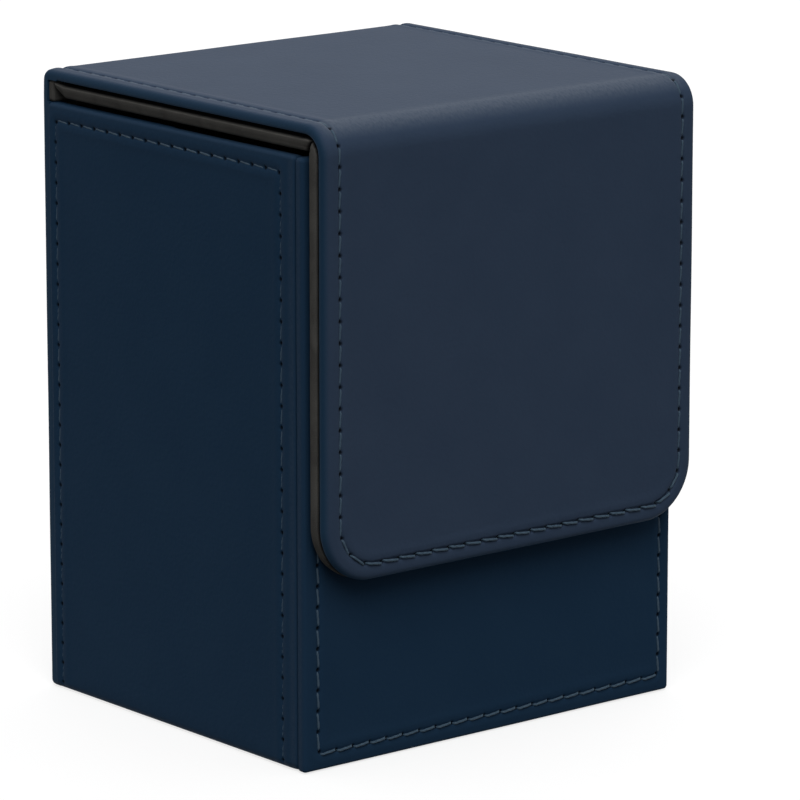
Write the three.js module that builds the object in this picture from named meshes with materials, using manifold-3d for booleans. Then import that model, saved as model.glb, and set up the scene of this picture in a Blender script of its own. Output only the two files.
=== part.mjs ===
// A flip-top storage box for a deck of sleeved playing cards.
// Boards wrapped in navy leather make a case and an L-shaped lid. The lid turns on a soft leather
// fold along the top rear edge, and magnets in its front flap hold it shut.
// Lengths are in millimetres. +X is to the right seen from the front, +Y runs to the back, +Z is up.
// The origin is on the surface that the box stands on, under the middle of the shut box.

import * as THREE from "three";
import { mergeVertices } from "three/addons/utils/BufferGeometryUtils.js";
import Module from "manifold-3d";

const wasm = await Module();
wasm.setup();

// Case, outside
const bodyWidth = 78.4;
const bodyDepth = 68.7;
const bodyHeight = 99.6;

// Case, front and back panels: a board in a tray of turned-in leather
const coverLeather = 0.6;
const frontBoardThickness = 1.1;
const backBoardThickness = 1.1;
const panelEdge = 0.7;
const backEdge = 1;
const panelCorner = 0.8;
const backCorner = 1.1;

// Case, sides and base: three boards in one strip of leather
const sideLeather = 0.7;
const sideBoardThickness = 1.6;
const baseBoardThickness = 1.6;
const baseCorner = 1.5;
const sideEdge = 0.5;
const sideTopEdge = 0.6;

// Case, microfibre lining of the card compartment
const liningThickness = 0.8;
const liningDrop = 0.5;
const liningEdge = 0.2;

// Lid and flap, navy outside; the lid is set back from each side of the case
const lidSetback = 0.2;
const flapLength = 73.6;
const lidFormerThickness = 1;
const lidCorner = 5;
const lidEdge = 1;
const flapCorner = 9.7;

// Lid and flap, padded lining inside
const padFoam = 2;
const padSkin = 0.5;
const padInset = 0.3;
const padEdge = 0.6;
const hemRun = 2.9;
const hemRise = 1.6;

// Room between the shut lid and the case
const lidClearance = 1;
const flapClearance = 0.8;

// Fold at the top rear edge
const foldReach = 4;
const foldCorner = 1.8;
const foldLiningThickness = 1.1;

// Magnets
const magnetDiameter = 10;
const caseMagnetThickness = 0.9;
const flapMagnetThickness = 1.8;
const magnetSpread = 40;
const magnetRise = 16;
const magnetFit = 0.2;

// Stitched thread, and the distance of each row from the edge beside it
const threadWidth = 0.5;
const threadThickness = 0.3;
const threadRoom = 0.05;
const panelRowSide = 2.65;
const panelRowBottom = 3.05;
const flapRowSide = 3.05;
const flapRowBottom = 2.8;
const sideRowFront = 3.8;
const sideRowRear = 2.3;
const sideRowTop = 3.1;
const rowCorner = 1;

// Glue line between two layers, and how far a cut runs past what it cuts
const glueLine = 0.1;
const overrun = 2;

// Steps in a round edge, a corner and a disc
const edgeSteps = 3;
const cornerSteps = 6;
const discSteps = 32;

// Thickness of each built-up wall
const frontPanel = coverLeather + glueLine + frontBoardThickness;
const backPanel = coverLeather + glueLine + backBoardThickness;
const sideWall = sideLeather + glueLine + sideBoardThickness;
const baseWall = sideLeather + glueLine + baseBoardThickness;
const lidPanel = coverLeather + glueLine + lidFormerThickness;
const padTop = lidPanel + glueLine;
const padUnder = padTop + padFoam + glueLine + padSkin;

// Outer planes
const flapReach = flapClearance + padUnder;
const wholeDepth = bodyDepth + flapReach;
const flapFront = -wholeDepth / 2;
const bodyFront = flapFront + flapReach;
const bodyBack = wholeDepth / 2;
const lidTop = bodyHeight + lidClearance + padUnder;
const flapBottom = lidTop - flapLength;
const halfBody = bodyWidth / 2;
const halfLid = halfBody - lidSetback;

// Places inside the case
const wallFront = bodyFront + frontPanel + glueLine;
const wallBack = bodyBack - backPanel - glueLine;
const boardSide = halfBody - sideLeather - glueLine;
const mouthSide = halfBody - sideWall;
const liningSide = mouthSide - glueLine;
const roomSide = liningSide - liningThickness;
const roomFront = wallFront + liningThickness;
const roomBack = wallBack - liningThickness;
const liningFoot = baseWall + glueLine;
const liningTop = bodyHeight - liningDrop;

// Places of the magnets and of the stitched rows
const magnetX = magnetSpread / 2;
const magnetZ = flapBottom + magnetRise;
const panelRowX = halfBody - panelRowSide;
const flapRowX = halfLid - flapRowSide;
const flapRowZ = flapBottom + flapRowBottom;
const flapRowCorner = flapCorner - flapRowBottom;
const rowHalf = threadWidth / 2;
const grooveHalf = rowHalf + threadRoom;
const grooveDepth = threadRoom + threadThickness + threadRoom;

// Finishes
const navyLeather = new THREE.MeshStandardMaterial({ color: 0x26364a, roughness: 0.55, metalness: 0 });
const blackMicrofibre = new THREE.MeshStandardMaterial({ color: 0x2c2a27, roughness: 0.95, metalness: 0 });
const greyBoard = new THREE.MeshStandardMaterial({ color: 0x8c8a84, roughness: 0.9, metalness: 0 });
const softFoam = new THREE.MeshStandardMaterial({ color: 0x55565a, roughness: 1, metalness: 0 });
const blueThread = new THREE.MeshStandardMaterial({ color: 0x5a7088, roughness: 0.7, metalness: 0 });
const platedMagnet = new THREE.MeshStandardMaterial({ color: 0xb9bcc0, roughness: 0.3, metalness: 1 });

// A closed outline through corners given as [across, up, radius]; the radius rounds a square corner
// with a quarter circle from the side before it to the side after it.
function outline(corners) {
  const points = [];
  corners.forEach(([across, up, radius = 0], index) => {
    const corner = new THREE.Vector2(across, up);
    if (radius === 0) {
      points.push(corner);
      return;
    }
    const last = corners.at(index - 1);
    const next = corners[(index + 1) % corners.length];
    const back = new THREE.Vector2(last[0], last[1]).sub(corner).normalize();
    const on = new THREE.Vector2(next[0], next[1]).sub(corner).normalize();
    const centre = corner.clone().addScaledVector(back, radius).addScaledVector(on, radius);
    for (let step = 0; step <= cornerSteps; step += 1) {
      const turn = (step / cornerSteps) * (Math.PI / 2);
      const point = centre.clone().addScaledVector(on, -radius * Math.cos(turn));
      points.push(point.addScaledVector(back, -radius * Math.sin(turn)));
    }
  });
  return new THREE.Shape(points);
}

// A rectangle with a radius at its two lower and at its two upper corners
function rectangle(left, right, low, high, lowRadius = 0, highRadius = lowRadius) {
  return outline([
    [left, low, lowRadius],
    [right, low, lowRadius],
    [right, high, highRadius],
    [left, high, highRadius],
  ]);
}

// A U-shaped band of even width: two legs from the open end, joined across the shut end
function stitchBand(left, right, shut, open, corner, halfWidth) {
  const side = Math.sign(open - shut);
  const outerRadius = corner + halfWidth;
  const innerRadius = Math.max(corner - halfWidth, 0);
  return outline([
    [left - halfWidth, open],
    [left - halfWidth, shut - side * halfWidth, outerRadius],
    [right + halfWidth, shut - side * halfWidth, outerRadius],
    [right + halfWidth, open],
    [right - halfWidth, open],
    [right - halfWidth, shut + side * halfWidth, innerRadius],
    [left + halfWidth, shut + side * halfWidth, innerRadius],
    [left + halfWidth, open],
  ]);
}

// Merges shared points and drops the triangles that closed up where a corner is as tight as its edge
function solidOf(geometry) {
  geometry.deleteAttribute("normal");
  geometry.deleteAttribute("uv");
  const merged = mergeVertices(geometry);
  const corners = merged.index.array;
  const triangles = [];
  for (let first = 0; first < corners.length; first += 3) {
    const [a, b, c] = corners.slice(first, first + 3);
    if (a !== b && b !== c && c !== a) triangles.push(a, b, c);
  }
  return new wasm.Manifold(
    new wasm.Mesh({
      numProp: 3,
      vertProperties: merged.attributes.position.array,
      triVerts: new Uint32Array(triangles),
    }),
  );
}

// Extrusions of an outline from one plane to another, with every end edge rounded by edge
function extrusion(shape, length, edge) {
  const geometry = new THREE.ExtrudeGeometry(shape, {
    depth: length - 2 * edge,
    bevelEnabled: edge > 0,
    bevelThickness: edge,
    bevelSize: edge,
    bevelOffset: -edge,
    bevelSegments: edgeSteps,
  });
  return geometry.translate(0, 0, edge);
}

const xAxis = new THREE.Vector3(1, 0, 0);
const yAxis = new THREE.Vector3(0, 1, 0);
const zAxis = new THREE.Vector3(0, 0, 1);
const forwardAxis = new THREE.Vector3(0, -1, 0);

// The outline is drawn in y and z
function alongX(shape, left, right, edge = 0) {
  const turn = new THREE.Matrix4().makeBasis(yAxis, zAxis, xAxis);
  return solidOf(extrusion(shape, right - left, edge).applyMatrix4(turn).translate(left, 0, 0));
}

// The outline is drawn in x and z
function alongY(shape, front, back, edge = 0) {
  const turn = new THREE.Matrix4().makeBasis(xAxis, zAxis, forwardAxis);
  return solidOf(extrusion(shape, back - front, edge).applyMatrix4(turn).translate(0, back, 0));
}

function block(left, right, front, back, low, high) {
  return alongY(rectangle(left, right, low, high), front, back);
}

function disc(diameter, thickness, x, front, z) {
  const geometry = new THREE.CylinderGeometry(diameter / 2, diameter / 2, thickness, discSteps);
  return solidOf(geometry.translate(x, front + thickness / 2, z));
}

function meshOf(name, solid, material) {
  const { vertProperties, triVerts } = solid.getMesh();
  const geometry = new THREE.BufferGeometry();
  geometry.setAttribute("position", new THREE.BufferAttribute(vertProperties, 3));
  geometry.setIndex(new THREE.BufferAttribute(triVerts, 1));
  geometry.computeVertexNormals();
  const mesh = new THREE.Mesh(geometry, material);
  mesh.name = name;
  return mesh;
}

const caseGroup = new THREE.Group();
const lidGroup = new THREE.Group();

// Front panel of the case: a stitched leather tray turned over a board with two magnets in it.
// The row of stitches runs down both sides and across the bottom.
function panelRow(halfWidth, front, back) {
  const open = bodyHeight - panelEdge;
  return alongY(stitchBand(-panelRowX, panelRowX, panelRowBottom, open, rowCorner, halfWidth), front, back);
}

const panelOutline = rectangle(-halfBody, halfBody, 0, bodyHeight, panelCorner);
const boardInset = coverLeather + glueLine;
const frontCavity = block(
  -halfBody + coverLeather,
  halfBody - coverLeather,
  bodyFront + coverLeather,
  bodyFront + frontPanel + overrun,
  coverLeather,
  bodyHeight - coverLeather,
);
const frontCover = alongY(panelOutline, bodyFront, bodyFront + frontPanel, panelEdge)
  .subtract(frontCavity)
  .subtract(panelRow(grooveHalf, bodyFront - overrun, bodyFront + grooveDepth));
caseGroup.add(meshOf("front_cover", frontCover, navyLeather));

const threadFront = bodyFront + threadRoom;
const frontThread = panelRow(rowHalf, threadFront, threadFront + threadThickness);
caseGroup.add(meshOf("front_stitching", frontThread, blueThread));

const caseMagnetFront = bodyFront + boardInset + (frontBoardThickness - caseMagnetThickness) / 2;
let frontBoard = block(
  -halfBody + boardInset,
  halfBody - boardInset,
  bodyFront + boardInset,
  bodyFront + frontPanel,
  boardInset,
  bodyHeight - boardInset,
);
for (const [side, x] of [["left", -magnetX], ["right", magnetX]]) {
  const holeDiameter = magnetDiameter + 2 * magnetFit;
  const hole = disc(holeDiameter, frontPanel + overrun, x, bodyFront, magnetZ);
  frontBoard = frontBoard.subtract(hole);
  const magnet = disc(magnetDiameter, caseMagnetThickness, x, caseMagnetFront, magnetZ);
  caseGroup.add(meshOf(`case_magnet_${side}`, magnet, platedMagnet));
}
caseGroup.add(meshOf("front_board", frontBoard, greyBoard));

// Back panel of the case: the same tray and board, left square along the top where its leather
// goes on as the fold.
const backOutline = rectangle(-halfBody, halfBody, 0, bodyHeight + overrun, backCorner, 0);
const backCavity = block(
  -halfBody + coverLeather,
  halfBody - coverLeather,
  bodyBack - backPanel - overrun,
  bodyBack - coverLeather,
  coverLeather,
  bodyHeight - coverLeather,
);
const aboveCase = block(
  -halfBody - overrun,
  halfBody + overrun,
  bodyBack - backPanel - overrun,
  bodyBack + overrun,
  bodyHeight,
  bodyHeight + 2 * overrun,
);
const backFill = backPanel + 2 * backEdge;
const insideBack = block(
  -halfBody - overrun,
  halfBody + overrun,
  bodyBack - backFill - overrun,
  bodyBack - backPanel,
  -overrun,
  bodyHeight + 2 * overrun,
);
const backCover = alongY(backOutline, bodyBack - backFill, bodyBack, backEdge)
  .subtract(insideBack)
  .subtract(backCavity)
  .subtract(aboveCase)
  .subtract(panelRow(grooveHalf, bodyBack - grooveDepth, bodyBack + overrun));
caseGroup.add(meshOf("back_cover", backCover, navyLeather));

const threadBack = bodyBack - threadRoom;
const backThread = panelRow(rowHalf, threadBack - threadThickness, threadBack);
caseGroup.add(meshOf("back_stitching", backThread, blueThread));

const backBoard = block(
  -halfBody + boardInset,
  halfBody - boardInset,
  bodyBack - backPanel,
  bodyBack - boardInset,
  boardInset,
  bodyHeight - boardInset,
);
caseGroup.add(meshOf("back_board", backBoard, greyBoard));

// Sides and base: one strip of leather runs down the left side, under the base and up the right
// side, and folds in over the top edge of each side board. Each side has a stitched row that runs
// up its front edge, along its top and down its rear edge.
function sideRow(halfWidth, left, right, foot) {
  const front = wallFront + sideRowFront;
  const rear = wallBack - sideRowRear;
  const top = bodyHeight - sideRowTop;
  return alongX(stitchBand(front, rear, top, foot, rowCorner, halfWidth), left, right);
}

const boardCorner = Math.max(baseCorner - sideLeather - glueLine, 0);
const stripOutline = rectangle(-halfBody, halfBody, 0, bodyHeight, baseCorner, sideTopEdge);
const stripHollow = rectangle(
  -halfBody + sideLeather,
  halfBody - sideLeather,
  sideLeather,
  bodyHeight - sideLeather,
  Math.max(baseCorner - sideLeather, 0),
  0,
);
const mouth = rectangle(-mouthSide, mouthSide, bodyHeight - sideLeather - overrun, bodyHeight + overrun);
let sideWrap = alongY(stripOutline, wallFront, wallBack, sideEdge)
  .subtract(alongY(stripHollow, wallFront - overrun, wallBack + overrun))
  .subtract(alongY(mouth, wallFront - overrun, wallBack + overrun));

const rowFoot = baseCorner + rowCorner;
const sides = [
  ["left", -halfBody, 1],
  ["right", halfBody, -1],
];
for (const [side, face, inward] of sides) {
  const grooveEnds = [face - inward * overrun, face + inward * grooveDepth].sort((a, b) => a - b);
  sideWrap = sideWrap.subtract(sideRow(grooveHalf, ...grooveEnds, baseCorner));
  const threadFace = face + inward * threadRoom;
  const threadEnds = [threadFace, threadFace + inward * threadThickness].sort((a, b) => a - b);
  const thread = sideRow(rowHalf, ...threadEnds, rowFoot);
  caseGroup.add(meshOf(`${side}_stitching`, thread, blueThread));

  const outer = -inward * boardSide;
  const inner = -inward * (boardSide - sideBoardThickness);
  const foot = sideLeather + glueLine;
  const head = bodyHeight - sideLeather - glueLine;
  const sideBoard = outline([
    [outer, foot, boardCorner],
    [inner, foot],
    [inner, head],
    [outer, head],
  ]);
  caseGroup.add(meshOf(`${side}_board`, alongY(sideBoard, wallFront, wallBack), greyBoard));

  const liningEnds = [-inward * liningSide, -inward * roomSide].sort((a, b) => a - b);
  const liningOutline = rectangle(wallFront, wallBack, liningFoot, liningTop);
  const lining = alongX(liningOutline, ...liningEnds, liningEdge);
  caseGroup.add(meshOf(`${side}_lining`, lining, blackMicrofibre));
}
caseGroup.add(meshOf("side_wrap", sideWrap, navyLeather));

const baseBoardSide = boardSide - sideBoardThickness - glueLine;
const baseBoard = block(
  -baseBoardSide,
  baseBoardSide,
  wallFront,
  wallBack,
  sideLeather + glueLine,
  baseWall,
);
caseGroup.add(meshOf("base_board", baseBoard, greyBoard));

// Lining of the card compartment: a sheet on each wall, and one on the base between them
const sheetSide = roomSide - glueLine;
const wallSheet = rectangle(-sheetSide, sheetSide, liningFoot, liningTop);
const frontLining = alongY(wallSheet, wallFront, roomFront, liningEdge);
caseGroup.add(meshOf("front_lining", frontLining, blackMicrofibre));
const backLining = alongY(wallSheet, roomBack, wallBack, liningEdge);
caseGroup.add(meshOf("back_lining", backLining, blackMicrofibre));
const baseLining = block(
  -sheetSide,
  sheetSide,
  roomFront + glueLine,
  roomBack - glueLine,
  liningFoot,
  liningFoot + liningThickness,
);
caseGroup.add(meshOf("base_lining", baseLining, blackMicrofibre));

// Layers of the lid lie at a depth under its navy face. A layer is cut from an L-shaped body whose
// edges are all rounded: its upper part follows the lid's profile, and its lower part follows the
// flap's outline with the two round corners.
const splitHeight = lidTop - lidCorner - overrun;
const lidRear = bodyBack - foldReach;

function lidBody({ outer, inner, inset, edge, rear = lidRear }) {
  const side = halfLid - inset;
  const low = flapBottom + inset;
  const profile = outline([
    [rear + overrun, lidTop - outer],
    [flapFront + outer, lidTop - outer, Math.max(lidCorner - outer, 0)],
    [flapFront + outer, low],
    [flapFront + inner, low],
    [flapFront + inner, lidTop - inner, Math.max(lidCorner - inner, 0)],
    [rear + overrun, lidTop - inner],
  ]);
  const upperRoom = block(
    -halfLid,
    halfLid,
    flapFront - overrun,
    rear,
    splitHeight,
    lidTop + overrun,
  );
  const upper = alongX(profile, -side, side, edge).intersect(upperRoom);
  const flap = rectangle(-side, side, low, lidTop, flapCorner - inset, 0);
  const lowerRoom = block(
    -halfLid,
    halfLid,
    flapFront - overrun,
    flapFront + inner + overrun,
    flapBottom - overrun,
    splitHeight,
  );
  const lower = alongY(flap, flapFront + outer, flapFront + inner, edge).intersect(lowerRoom);
  return upper.add(lower);
}

// Everything that lies deeper than depth under the lid's navy face
function lidCore(depth) {
  const profile = outline([
    [bodyBack + overrun, flapBottom - overrun],
    [bodyBack + overrun, lidTop - depth],
    [flapFront + depth, lidTop - depth, Math.max(lidCorner - depth, 0)],
    [flapFront + depth, flapBottom - overrun],
  ]);
  return alongX(profile, -halfLid - overrun, halfLid + overrun);
}

// The lid's stitched row: up both sides of the flap, over the front corner and back along the top
function lidRow(halfWidth, outer, inner, rear) {
  const flapBand = stitchBand(-flapRowX, flapRowX, flapRowZ, splitHeight, flapRowCorner, halfWidth);
  let row = alongY(flapBand, flapFront + outer, flapFront + inner);
  const strip = outline([
    [rear, lidTop - outer],
    [flapFront + outer, lidTop - outer, lidCorner - outer],
    [flapFront + outer, splitHeight],
    [flapFront + inner, splitHeight],
    [flapFront + inner, lidTop - inner, lidCorner - inner],
    [rear, lidTop - inner],
  ]);
  for (const x of [-flapRowX, flapRowX]) {
    row = row.add(alongX(strip, x - halfWidth, x + halfWidth));
  }
  return row;
}

// Lid cover: navy leather turned in along every edge of the lid and flap
const coverFill = lidPanel + 2 * lidEdge;
const lidCover = lidBody({ outer: 0, inner: coverFill, inset: 0, edge: lidEdge })
  .subtract(
    lidBody({
      outer: coverLeather,
      inner: coverFill,
      inset: coverLeather,
      edge: lidEdge - coverLeather,
      rear: lidRear - coverLeather,
    }),
  )
  .subtract(lidCore(lidPanel))
  .subtract(lidRow(grooveHalf, -overrun, grooveDepth, lidRear + overrun));
lidGroup.add(meshOf("lid_cover", lidCover, navyLeather));

const lidThread = lidRow(rowHalf, threadRoom, threadRoom + threadThickness, lidRear - threadRoom);
lidGroup.add(meshOf("lid_stitching", lidThread, blueThread));

// Lid former: one stiff moulded board that keeps the lid and flap square to each other
const lidFormer = lidBody({
  outer: boardInset,
  inner: coverFill,
  inset: boardInset,
  edge: lidEdge - boardInset,
  rear: lidRear - boardInset,
}).subtract(lidCore(lidPanel));
lidGroup.add(meshOf("lid_former", lidFormer, greyBoard));

// Lid lining: microfibre over a layer of foam. Its rear hem slopes up to clear the case rim.
const liningRear = bodyBack - lidPanel - glueLine - foldLiningThickness - glueLine;
const hemFront = liningRear - hemRun;
const padBottom = lidTop - padUnder;
const hemCut = alongX(
  outline([
    [hemFront, padBottom],
    [hemFront, padBottom - overrun],
    [liningRear + overrun, padBottom - overrun],
    [liningRear + overrun, padBottom + hemRise],
    [liningRear, padBottom + hemRise],
  ]),
  -halfLid - overrun,
  halfLid + overrun,
);
const foamRear = hemFront - padSkin;
const skinSide = padInset + padSkin;
const padHollow = lidBody({
  outer: padTop - overrun,
  inner: padUnder - padSkin,
  inset: skinSide,
  edge: 0,
  rear: foamRear + glueLine,
});
const lidLining = lidBody({ outer: padTop, inner: padUnder, inset: padInset, edge: padEdge, rear: liningRear })
  .subtract(padHollow)
  .subtract(hemCut);
lidGroup.add(meshOf("lid_lining", lidLining, blackMicrofibre));

// Foam in the lid and in the flap, the flap's with its two magnets let in
const foamUnder = padTop + padFoam;
const foamLayer = lidBody({
  outer: padTop,
  inner: foamUnder,
  inset: skinSide + glueLine,
  edge: 0,
  rear: foamRear,
});
const foamSplit = flapFront + foamUnder + glueLine;
const topRoom = block(-halfLid, halfLid, foamSplit, bodyBack, padBottom - overrun, lidTop);
lidGroup.add(meshOf("top_foam", foamLayer.intersect(topRoom), softFoam));

const flapRoom = block(-halfLid, halfLid, flapFront, foamSplit - glueLine, flapBottom, lidTop - foamUnder);
let flapFoam = foamLayer.intersect(flapRoom);
const flapMagnetFront = flapFront + foamUnder - flapMagnetThickness;
for (const [side, x] of [["left", -magnetX], ["right", magnetX]]) {
  const holeDiameter = magnetDiameter + 2 * magnetFit;
  flapFoam = flapFoam.subtract(disc(holeDiameter, foamUnder + overrun, x, flapFront, magnetZ));
  const magnet = disc(magnetDiameter, flapMagnetThickness, x, flapMagnetFront, magnetZ);
  lidGroup.add(meshOf(`flap_magnet_${side}`, magnet, platedMagnet));
}
lidGroup.add(meshOf("flap_foam", flapFoam, softFoam));

// Fold at the rear: soft leather with no board in it, which runs up from the back panel and over
// the corner to the lid, and a strip of lining inside it.
const foldFoot = bodyHeight + glueLine;
const foldFront = lidRear + glueLine;
const foldSwept = outline([
  [bodyBack, foldFoot - overrun],
  [bodyBack, lidTop, foldCorner],
  [foldFront - overrun, lidTop],
  [foldFront - overrun, lidTop - coverFill],
  [bodyBack - coverFill, lidTop - coverFill],
  [bodyBack - coverFill, foldFoot - overrun],
]);
const foldRoom = block(-halfLid, halfLid, foldFront, bodyBack, foldFoot, lidTop);
const foldInside = outline([
  [foldFront - overrun, foldFoot - overrun],
  [bodyBack - lidPanel, foldFoot - overrun],
  [bodyBack - lidPanel, lidTop - lidPanel, Math.max(foldCorner - lidPanel, 0)],
  [foldFront - overrun, lidTop - lidPanel],
]);
const foldLeather = alongX(foldSwept, -halfLid, halfLid, lidEdge)
  .intersect(foldRoom)
  .subtract(alongX(foldInside, -halfLid - overrun, halfLid + overrun));
caseGroup.add(meshOf("fold_leather", foldLeather, navyLeather));

const foldLiningBack = bodyBack - lidPanel - glueLine;
const foldLiningFront = foldLiningBack - foldLiningThickness;
const foldLiningTop = lidTop - padTop;
const foldLiningSide = halfLid - padInset;
const foldStrip = outline([
  [foldLiningFront, foldFoot],
  [foldLiningBack, foldFoot],
  [foldLiningBack, foldLiningTop, Math.max(foldCorner - padTop, 0)],
  [foldLiningFront, foldLiningTop],
]);
const foldLining = alongX(foldStrip, -foldLiningSide, foldLiningSide);
caseGroup.add(meshOf("fold_lining", foldLining, blackMicrofibre));

const box = new THREE.Group();
box.add(caseGroup, lidGroup);

export default box;
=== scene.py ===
# A flip-top card storage box: boards wrapped in stitched navy leather, with a padded lid and flap.
# The sections follow the box as it is put together. Their sizes are in millimetres, and a mesh is
# turned to metres as it is made.
import math

import bpy
import numpy as np
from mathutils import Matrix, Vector


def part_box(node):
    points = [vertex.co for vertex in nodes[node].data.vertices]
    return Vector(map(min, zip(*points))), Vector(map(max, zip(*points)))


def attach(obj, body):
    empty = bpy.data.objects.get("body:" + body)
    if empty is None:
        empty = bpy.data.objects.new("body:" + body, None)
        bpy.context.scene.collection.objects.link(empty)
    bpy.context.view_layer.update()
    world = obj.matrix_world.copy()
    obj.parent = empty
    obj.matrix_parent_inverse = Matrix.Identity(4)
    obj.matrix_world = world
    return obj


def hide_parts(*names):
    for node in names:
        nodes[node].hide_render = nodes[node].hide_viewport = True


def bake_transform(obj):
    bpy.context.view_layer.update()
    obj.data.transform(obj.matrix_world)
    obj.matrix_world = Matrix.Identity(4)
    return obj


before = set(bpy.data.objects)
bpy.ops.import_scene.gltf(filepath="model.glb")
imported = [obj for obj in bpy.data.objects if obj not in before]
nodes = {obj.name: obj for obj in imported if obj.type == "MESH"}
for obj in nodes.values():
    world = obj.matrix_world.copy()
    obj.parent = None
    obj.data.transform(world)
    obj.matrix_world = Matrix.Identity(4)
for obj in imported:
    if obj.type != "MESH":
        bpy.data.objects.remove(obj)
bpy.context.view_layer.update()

# Boards
# Grey board is pressed from waste paper pulp and die-cut to each panel; the lid's is moulded to an
# L while it is damp. All are glued into leather, so they are only seen where the box is cut open.
MM = 0.001


def linear(hex_colour):
    """An sRGB hex colour as the linear colour that shaders take"""
    shares = [int(hex_colour[at : at + 2], 16) / 255 for at in (1, 3, 5)]
    return [s / 12.92 if s <= 0.04045 else ((s + 0.055) / 1.055) ** 2.4 for s in shares] + [1]


def set_inputs(material, node, inputs):
    """Sets a node's inputs: each is a number, a colour or a (node, output) pair to link"""
    for socket, value in inputs.items():
        if isinstance(value, tuple) and isinstance(value[0], bpy.types.Node):
            material.node_tree.links.new(value[0].outputs[value[1]], node.inputs[socket])
        else:
            node.inputs[socket].default_value = value


def add_node(material, kind, inputs=None, stops=(), **settings):
    """Adds a shader node with its settings, its inputs and the (place, colour) stops of its ramp"""
    made = material.node_tree.nodes.new("ShaderNode" + kind)
    for setting, value in settings.items():
        setattr(made, setting, value)
    set_inputs(material, made, inputs or {})
    for number, (place, colour) in enumerate(stops):
        made.color_ramp.elements[number].position = place
        made.color_ramp.elements[number].color = linear(colour)
    return made


def new_material(name, inputs):
    """A material with its shader, which has its plain inputs, and the output that it goes to"""
    made = bpy.data.materials.new(name)
    made.use_nodes = True
    made.node_tree.nodes.clear()
    shader = add_node(made, "BsdfPrincipled", inputs)
    add_node(made, "OutputMaterial", {"Surface": (shader, "BSDF")})
    return made, shader


def finish_solids(names, material):
    """Gives a finish to solids of the frame that are shown as they are"""
    for name in names:
        nodes[name].data.materials.clear()
        nodes[name].data.materials.append(material)


# Grey board: short paper fibres in a matt, slightly mottled pulp
fibre_length, fibre_relief = 1.2 * MM, 0.08 * MM
grey_board, board_shader = new_material("pressed grey board", {"Roughness": 0.92})
board_place = add_node(grey_board, "TexCoord")
fibres = add_node(
    grey_board,
    "TexNoise",
    {"Vector": (board_place, "Object"), "Scale": 1 / fibre_length, "Detail": 5.0, "Distortion": 1.4},
)
pulp_tint = add_node(grey_board, "ValToRGB", {"Fac": (fibres, "Fac")}, [(0, "#77756f"), (1, "#a09d95")])
pulp_bump = add_node(
    grey_board, "Bump", {"Height": (fibres, "Fac"), "Strength": 0.4, "Distance": fibre_relief}
)
set_inputs(
    grey_board, board_shader, {"Base Color": (pulp_tint, "Color"), "Normal": (pulp_bump, "Normal")}
)
boards = ("front_board", "back_board", "left_board", "right_board", "base_board", "lid_former")
finish_solids(boards, grey_board)

# Magnets
# Four sintered disc magnets with a nickel plating, let into holes in the front board and in the
# foam of the flap. They meet through leather and lining and hold the flap shut.
tumble_mark = 0.9
nickel, nickel_shader = new_material(
    "nickel plating", {"Metallic": 1.0, "Base Color": linear("#c3beb4")}
)
nickel_place = add_node(nickel, "TexCoord")
tumble_marks = add_node(
    nickel,
    "TexNoise",
    {"Vector": (nickel_place, "Object"), "Scale": 1 / (tumble_mark * MM), "Detail": 4.0},
)
nickel_gloss = add_node(
    nickel, "MapRange", {"Value": (tumble_marks, "Fac"), "To Min": 0.16, "To Max": 0.34}
)
set_inputs(nickel, nickel_shader, {"Roughness": (nickel_gloss, "Result")})
magnets = ("case_magnet_left", "case_magnet_right", "flap_magnet_left", "flap_magnet_right")
finish_solids(magnets, nickel)

# Side strip
# One strip of coated leather is glued over the left board, the base board and the right board,
# and turned in over the top edge of each side. A row of stitches runs round each side. Its front
# border is rolled, and a painted highlight lies on it and on the two top bends. Its rear border
# lies under the back panel's edge.


def span(node):
    """Lowest and highest corner of a node of the frame, in millimetres"""
    return [np.array(corner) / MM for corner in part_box(node)]


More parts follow.
